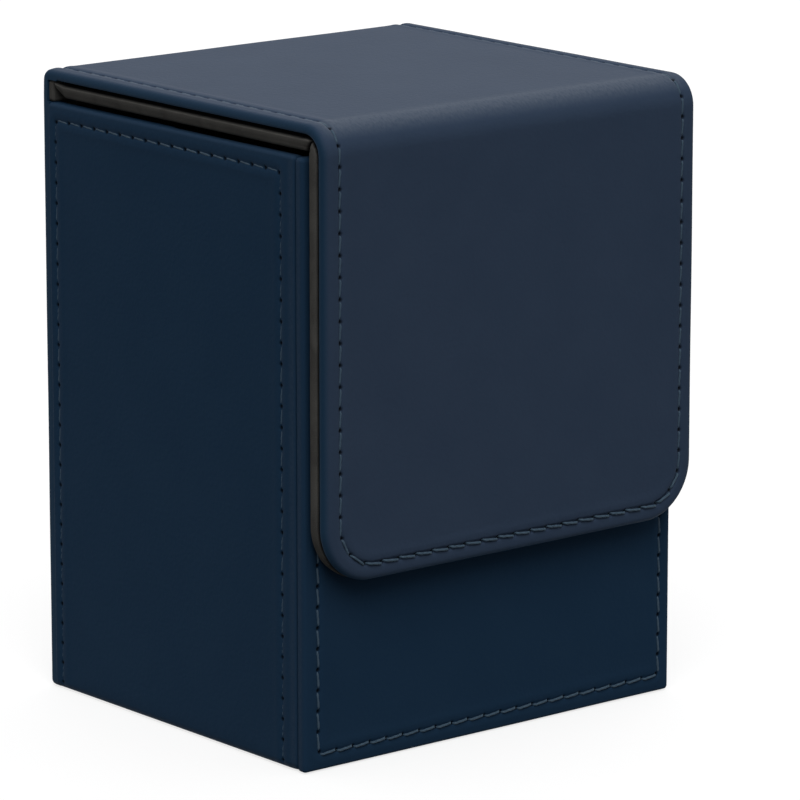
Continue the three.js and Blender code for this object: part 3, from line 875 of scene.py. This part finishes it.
# Microfibre: a dense short nap, matt from every side, with soft patches where it is brushed. Where it
# is drawn into a seam or dented deep, it is painted nearly black as shade
nap_size, nap_relief = 0.16, 0.05
brushed_size, brushed_share = 6, 0.6
microfibre, microfibre_shader = new_material(
    "microfibre",
    {"Roughness": 0.95, "Specular IOR Level": 0.02, "Sheen Weight": 0.02, "Sheen Roughness": 0.5},
)
lining_place = add_node(microfibre, "Attribute", attribute_name="sheet_mm")
lining_shade_share = add_node(microfibre, "Attribute", attribute_name="pressed")
nap = add_node(
    microfibre,
    "TexNoise",
    {"Vector": (lining_place, "Vector"), "Scale": 1 / nap_size, "Detail": 3.0, "Roughness": 0.7},
)
brushed = add_node(
    microfibre,
    "TexNoise",
    {"Vector": (lining_place, "Vector"), "Scale": 1 / brushed_size, "Detail": 2.0, "Distortion": 0.8},
)
nap_blend = add_node(
    microfibre, "Math", {0: (brushed, "Fac"), 1: brushed_share, 2: (nap, "Fac")}, operation="MULTIPLY_ADD"
)
nap_tone = add_node(
    microfibre, "ValToRGB", {"Fac": (nap_blend, "Value")}, [(0.55, "#3a3938"), (1, "#555451")]
)
# Painted shade: near black where the pressed share is high
nap_shade = add_node(
    microfibre,
    "Mix",
    {"Factor": (lining_shade_share, "Fac"), 6: (nap_tone, "Color"), 7: linear("#060607")},
    data_type="RGBA",
)
nap_bump = add_node(
    microfibre, "Bump", {"Height": (nap, "Fac"), "Strength": 1.0, "Distance": nap_relief * MM}
)
set_inputs(microfibre, microfibre_shader, {"Base Color": (nap_shade, 2), "Normal": (nap_bump, "Normal")})
lining_edge, lining_corner = 0.35, 0.65


def lining_ripple(across, along):
    """The lining's unevenness: like the leather's, but twice as deep and with other waves"""
    return 2.0 * ripple(across * 1.3 + 20, along * 1.2 - 9)


for side, across_way, up_way in (
    ("front", (-1, 0, 0), (0, 0, 1)),
    ("back", (1, 0, 0), (0, 0, 1)),
    ("left", (0, 1, 0), (0, 0, 1)),
    ("right", (0, -1, 0), (0, 0, 1)),
    ("base", (1, 0, 0), (0, 1, 0)),
):
    low, high = span(side + "_lining")
    size = high - low
    out = np.cross(across_way, up_way)
    half, tall, thick = np.abs([size @ across_way / 2, size @ up_way, size @ out])
    foot = (low + high + out * thick - np.array(up_way) * tall) / 2
    lining_sheet = turned_sheet(
        flat_place(foot, across_way, up_way), half, 0, tall, lining_edge, thick,
        corner=lining_corner, relief=lining_ripple,
    )
    lining = piece(side + "_lining_microfibre", lining_sheet, microfibre)
    fit(lining, side + "_lining", "case")

# Lid and flap
# One skin of coated leather over the L-shaped former, turned in round the sides and the two round
# corners of the flap. It is soft and thick here, so its edges are full and its stitches sit deep.
lid_half = lid_high[0]
lid_flap_corner = 9.7
lid_groove, lid_hem = 0.3, 0.5
lid_sunk, lid_proud = 0.29, 0.5
lid_row_inset, lid_row_foot, lid_row_middle = 3.1, 2.79, 0.25
lid_row = stitch_row(
    lid_half - lid_row_inset, lid_row_foot, lid_end - thread_stop,
    lid_flap_corner - lid_row_foot, lid_row_middle, groove_end=lid_end + groove_past,
)
lid_sheet = turned_sheet(
    lid_place, lid_half, 0, lid_end, lid_edge, lid_wall, cover_leather,
    corner=lid_flap_corner, open_high=True,
    marks=np.linspace(*lid_bends[0], 17),
    rows=[lid_row], roll=lid_roll, groove=lid_groove, hem=lid_hem,
)

# A highlight is painted on the leather over the front corner. It starts the down length before the
# upper end of its bend, ends the past length beyond it, and keeps the inset length off its sides.
# Each run is the length over which that begins or ends.
highlight_past, highlight_past_run = 0.6, 1.4
highlight_down, highlight_down_run = 5.2, 2.8
highlight_inset, highlight_inset_run = 0.8, 1.8
to_bend_end = lid_sheet["sheet"][:, 1] - lid_bends[0][1]
to_lid_side = lid_half - np.abs(lid_sheet["sheet"][:, 0])
lid_sheet["painted_highlight"] = np.clip((highlight_past - to_bend_end) / highlight_past_run, 0, 1)
lid_sheet["painted_highlight"] *= np.clip((highlight_down + to_bend_end) / highlight_down_run, 0, 1)
lid_sheet["painted_highlight"] *= np.clip((to_lid_side - highlight_inset) / highlight_inset_run, 0, 1)
fit(piece("lid_and_flap_leather", lid_sheet, lid_leather_painted_lighter), "lid_cover", "lid")

lid_sewn = stitches(lid_row, lid_place, lid_sunk, lid_proud)
fit(piece("lid_stitches", lid_sewn, thread, sharp_angle=80), "lid_stitching", "lid")

# Fold
# Between the back panel and the lid the leather has no board in it. It bends there as the hinge of
# the box, and the stitched rows run on over it. It widens to the width of the back panel.
fold_spread = back_high[0] / lid_half - 1


def fold_place(across, along, depth):
    share = np.clip((along - lid_end) / (case_end - lid_end), 0, 1)
    return lid_place(across * (1 + fold_spread * eased(share)), along, depth)


fold_stitch_count = 3
fold_run = case_end - lid_end + 2 * thread_stop
fold_holes = lid_row["length"] + np.linspace(0, fold_run, fold_stitch_count + 1)
fold_reach = fold_holes[-1] + groove_past
fold_row = dict(lid_row, reach=fold_reach, runs=[-fold_holes[::-1], fold_holes])
fold_sheet = turned_sheet(
    fold_place, lid_half, lid_end, case_end, lid_edge, lid_wall, cover_leather,
    open_low=True, open_high=True,
    marks=np.linspace(*lid_bends[1], 13),
    rows=[fold_row], roll=lid_roll, groove=lid_groove,
)
fold = piece("fold_leather_strip", fold_sheet, lid_leather_painted_lighter)
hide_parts("fold_leather")
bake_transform(fold)

fold_sewn = stitches(fold_row, fold_place, lid_sunk, lid_proud)
fold_stitches = piece("fold_stitches", fold_sewn, thread, sharp_angle=80)
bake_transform(fold_stitches)

# Foam
# Two sheets of open-cell polyurethane foam, laid on the former in the lid and in the flap. Their
# edges are cut at a slant, narrower at the former, and the flap's sheet has a hole for each magnet.
foam_cell, foam_relief = 0.45, 0.15
foam_slant, foam_slant_run = 1.5, 6
foam_voxel = 0.4
foam, foam_shader = new_material(
    "open-cell polyurethane foam", {"Roughness": 1.0, "Specular IOR Level": 0.1}
)
foam_place = add_node(foam, "TexCoord")
cells = add_node(
    foam, "TexVoronoi", {"Vector": (foam_place, "Object"), "Scale": 1 / (foam_cell * MM)}
)
# Painted shade: each cell is darker towards its middle, where the pore is hollow
foam_pore_shade = add_node(foam, "ValToRGB", {"Fac": (cells, "Distance")}, [(0, "#2e2f32"), (1, "#6a6b70")])
foam_bump = add_node(
    foam, "Bump", {"Height": (cells, "Distance"), "Strength": 1.0, "Distance": foam_relief * MM}
)
set_inputs(foam, foam_shader, {"Base Color": (foam_pore_shade, "Color"), "Normal": (foam_bump, "Normal")})

# Each sheet has an axis through it, an axis along it, and a way in which its far end lies on that
for node, through, end, end_way in (("top_foam", 2, 1, 1), ("flap_foam", 1, 2, -1)):
    low, high = span(node)
    cut_sheet = bpy.data.objects.new(node + "_sheet", nodes[node].data.copy())
    bpy.context.scene.collection.objects.link(cut_sheet)
    remesh = cut_sheet.modifiers.new("voxels", "REMESH")
    remesh.mode = "VOXEL"
    remesh.voxel_size = foam_voxel * MM
    soften = cut_sheet.modifiers.new("soft edges", "SMOOTH")
    soften.factor = 0.5
    soften.iterations = 2
    graph = bpy.context.evaluated_depsgraph_get()
    softened = bpy.data.meshes.new_from_object(cut_sheet.evaluated_get(graph))
    cut_sheet.modifiers.clear()
    cut_sheet.data = softened
    spots = np.zeros(len(softened.vertices) * 3)
    softened.vertices.foreach_get("co", spots)
    spots = spots.reshape(-1, 3) / MM
    upward = (spots[:, through] - low[through]) / (high[through] - low[through])
    slant = foam_slant * (upward if node == "top_foam" else 1 - upward)
    to_side = np.abs(spots[:, 0]) - high[0] + foam_slant_run
    to_end = end_way * spots[:, end] - max(end_way * low[end], end_way * high[end]) + foam_slant_run
    spots[:, 0] -= np.sign(spots[:, 0]) * slant * np.clip(to_side / foam_slant_run, 0, 1)
    spots[:, end] -= end_way * slant * np.clip(to_end / foam_slant_run, 0, 1)
    softened.vertices.foreach_set("co", (spots * MM).ravel())
    softened.materials.clear()
    softened.materials.append(foam)
    softened.polygons.foreach_set("use_smooth", [True] * len(softened.polygons))
    fit(cut_sheet, node, "lid")

# Lining of the lid and flap
# One piece of microfibre drawn over both sheets of foam and glued down behind them. It is pinched
# in a small tuck where it turns the inner corner, and the two flap magnets show faintly under it.
pad_low, pad_high = span("lid_lining")
pad_thick, pad_skin, pad_edge = 2.6, 0.5, 0.75
pad_flap_corner, pad_rear_corner, pad_inner_corner = 9.4, 0.9, 0.6
pad_front = pad_low[1] + pad_thick
pad_under = pad_high[2] - pad_thick
hem_run, hem_rise = 2.9, 1.6
pad_bends, pad_length, pad_line = bent_line(
    (pad_front, pad_low[2], 0),
    (pad_front, pad_under, pad_inner_corner),
    (pad_high[1], pad_under, 0),
)


def pad_place(across, along, depth):
    y, z, out_y, out_z = pad_line(along)
    rise = hem_rise * np.clip((along - pad_length + hem_run) / hem_run, 0, 1)
    lifted = rise + depth * (pad_thick - rise) / pad_thick
    return np.stack([-across, y + out_y * lifted, z + out_z * lifted], 1)


magnet_low, magnet_high = span("flap_magnet_right")
magnet_x = (magnet_low[0] + magnet_high[0]) / 2
magnet_along = (magnet_low[2] + magnet_high[2]) / 2 - pad_low[2]
magnet_radius = (magnet_high[0] - magnet_low[0]) / 2
tuck_share = 0.63
tuck_place = pad_bends[0][0] + tuck_share * (pad_bends[0][1] - pad_bends[0][0])


def pad_fan(to_side):
    """How much further apart two places are on the pad's wall than on its face, at the bend"""
    fan_start = 0.3
    return 1 + np.clip(-to_side - fan_start, 0, pad_thick) / pad_inner_corner


def pad_relief(across, along):
    """The crown of the foam under the lining, the tuck at the inner corner and the magnets' edges"""
    crown, crown_run, crown_gap = 0.22, 5, 3.2
    tuck_depth, tuck_width, tuck_start, tuck_run = 0.5, 0.26, 0.4, 2.2
    trace, trace_width = 0.05, 0.6
    to_side = pad_high[0] - np.abs(across)
    to_end = np.minimum(along, pad_length - along)
    inward = np.clip(np.minimum(to_side, to_end), 0, None)
    height = crown * (1 - np.exp(-inward / crown_run)) * (1 - bell(along - tuck_place, crown_gap))
    at_edge = bell(np.clip(to_side - tuck_start, 0, None), tuck_run)
    height -= tuck_depth * at_edge * bell((along - tuck_place) * pad_fan(to_side), tuck_width)
    for x in (-magnet_x, magnet_x):
        ring = np.hypot(across - x, along - magnet_along) - magnet_radius
        height += trace * bell(ring, trace_width)
    return height + 0.8 * ripple(across + 31, along * 1.2)


def pad_crease(across, along):
    """The edge length wanted near the tuck and the magnets"""
    tuck_finest, tuck_growth, tuck_run = 0.1, 0.35, 2
    magnet_finest, magnet_growth, magnet_band = 0.45, 0.4, 0.8
    to_side = pad_high[0] - np.abs(across)
    aside = (along - tuck_place) * pad_fan(to_side)
    from_tuck = np.hypot(aside, np.clip(to_side - tuck_run, 0, None))
    from_trace = np.abs(np.hypot(np.abs(across) - magnet_x, along - magnet_along) - magnet_radius)
    near_magnet = magnet_finest + magnet_growth * np.maximum(from_trace - magnet_band, 0)
    return np.minimum(tuck_finest + tuck_growth * from_tuck, near_magnet)


pad_sheet = turned_sheet(
    pad_place, pad_high[0], 0, pad_length, pad_edge, pad_thick, pad_skin,
    corner=pad_flap_corner, high_corner=pad_rear_corner,
    marks=[*np.linspace(*pad_bends[0], 9), pad_length - hem_run],
    relief=pad_relief, crease=pad_crease,
    tuck=(1.2, 0.76), slack_below=tuck_place, bulge=0.22,
)
lid_pad = piece("lid_lining_microfibre", pad_sheet, microfibre)
fit(lid_pad, "lid_lining", "lid")

# Lining of the fold
# A narrow strip of the same microfibre, turned round a thin core of foam and glued inside the fold.
# It stands between the rim of the case and the lid, and bends with the leather.
core_low, core_high = span("fold_lining")
core_edge, core_corner, core_mark = 0.4, 0.55, 0.5
core_tall = core_high[2] - core_low[2]
fold_lining_sheet = turned_sheet(
    flat_place((0, core_low[1], core_low[2]), (1, 0, 0), (0, 0, 1)),
    core_high[0], 0, core_tall, core_edge, core_high[1] - core_low[1],
    corner=core_corner, relief=lining_ripple,
    marks=np.linspace(core_mark, core_tall - core_mark, 7),
)
fold_lining = piece("fold_lining_microfibre", fold_lining_sheet, microfibre)
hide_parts("fold_lining")
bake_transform(fold_lining)

# Studio
# A pale floor that shows white, a soft overhead light and even light from all round. The camera
# stands where the photo was taken from, with a long lens.


def background_rays(material):
    """A share of 1 for the rays that show the plain background: seen, mirrored or seen through glass"""
    path = add_node(material, "LightPath")
    seen = (path, "Is Camera Ray")
    for ray in ("Is Glossy Ray", "Is Transmission Ray"):
        seen = (add_node(material, "Math", {0: seen, 1: (path, ray)}, operation="MAXIMUM"), "Value")
    return seen


floor_reach = 6.0
floor_mesh = bpy.data.meshes.new("floor")
corner_ways = ((-1, -1), (1, -1), (1, 1), (-1, 1))
floor_mesh.from_pydata([(x * floor_reach, y * floor_reach, 0) for x, y in corner_ways], [], [range(4)])
floor = bpy.data.objects.new("floor", floor_mesh)
bpy.context.scene.collection.objects.link(floor)

pale_floor = bpy.data.materials.new("pale matt floor")
pale_floor.use_nodes = True
pale_floor.node_tree.nodes.clear()
floor_matt = add_node(pale_floor, "BsdfDiffuse", {"Color": linear("#a0a0a0")})
floor_dull = add_node(pale_floor, "BsdfDiffuse", {"Color": linear("#404040")})
floor_glow = add_node(pale_floor, "Emission", {"Color": linear("#ffffff"), "Strength": 0.72})
floor_lit = add_node(pale_floor, "AddShader", {0: (floor_matt, "BSDF"), 1: (floor_glow, "Emission")})
floor_shown = add_node(
    pale_floor,
    "MixShader",
    {0: background_rays(pale_floor), 1: (floor_dull, "BSDF"), 2: (floor_lit, "Shader")},
)
add_node(pale_floor, "OutputMaterial", {"Surface": (floor_shown, "Shader")})
floor_mesh.materials.append(pale_floor)

sky = bpy.data.worlds.new("even studio light")
sky.use_nodes = True
sky.node_tree.nodes.clear()
sky_way = add_node(sky, "TexCoord")
sky_rise = add_node(sky, "SeparateXYZ", {"Vector": (sky_way, "Generated")})
sky_fall = add_node(sky, "MapRange", {"Value": (sky_rise, "Z"), "To Min": 0.22, "To Max": 0.76})
sky_strength = add_node(
    sky, "MapRange", {"Value": background_rays(sky), "To Min": (sky_fall, "Result"), "To Max": 1.0}
)
sky_light = add_node(
    sky, "Background", {"Color": linear("#ffffff"), "Strength": (sky_strength, "Result")}
)
add_node(sky, "OutputWorld", {"Surface": (sky_light, "Background")})
bpy.context.scene.world = sky

for name, share, spread, way in (
    ("front_left_softbox", 0.44, 40, (0.39, 0.54, -0.745)),
    ("rear_right_softbox", 0.1, 60, (-0.62, -0.4, -0.68)),
):
    lamp = bpy.data.lights.new(name, "SUN")
    lamp.energy = share * math.pi
    lamp.angle = math.radians(spread)
    light = bpy.data.objects.new(name, lamp)
    light.rotation_euler = Vector(way).to_track_quat("-Z", "Y").to_euler()
    bpy.context.scene.collection.objects.link(light)

view_turn = math.radians(39.615)
view_drop = math.radians(12.822)
view_distance = 0.88714
view_target = Vector((-0.00387, -0.01294, 0.05278))
camera = bpy.data.objects.new("photo_view", bpy.data.cameras.new("photo_view"))
camera.data.sensor_width = 36
camera.data.lens = 244.43
camera.rotation_euler = (math.pi / 2 - view_drop, 0, -view_turn)
camera.location = view_target + camera.rotation_euler.to_matrix() @ Vector((0, 0, view_distance))
bpy.context.scene.collection.objects.link(camera)
bpy.context.scene.camera = camera
bpy.context.scene.view_settings.view_transform = "Standard"
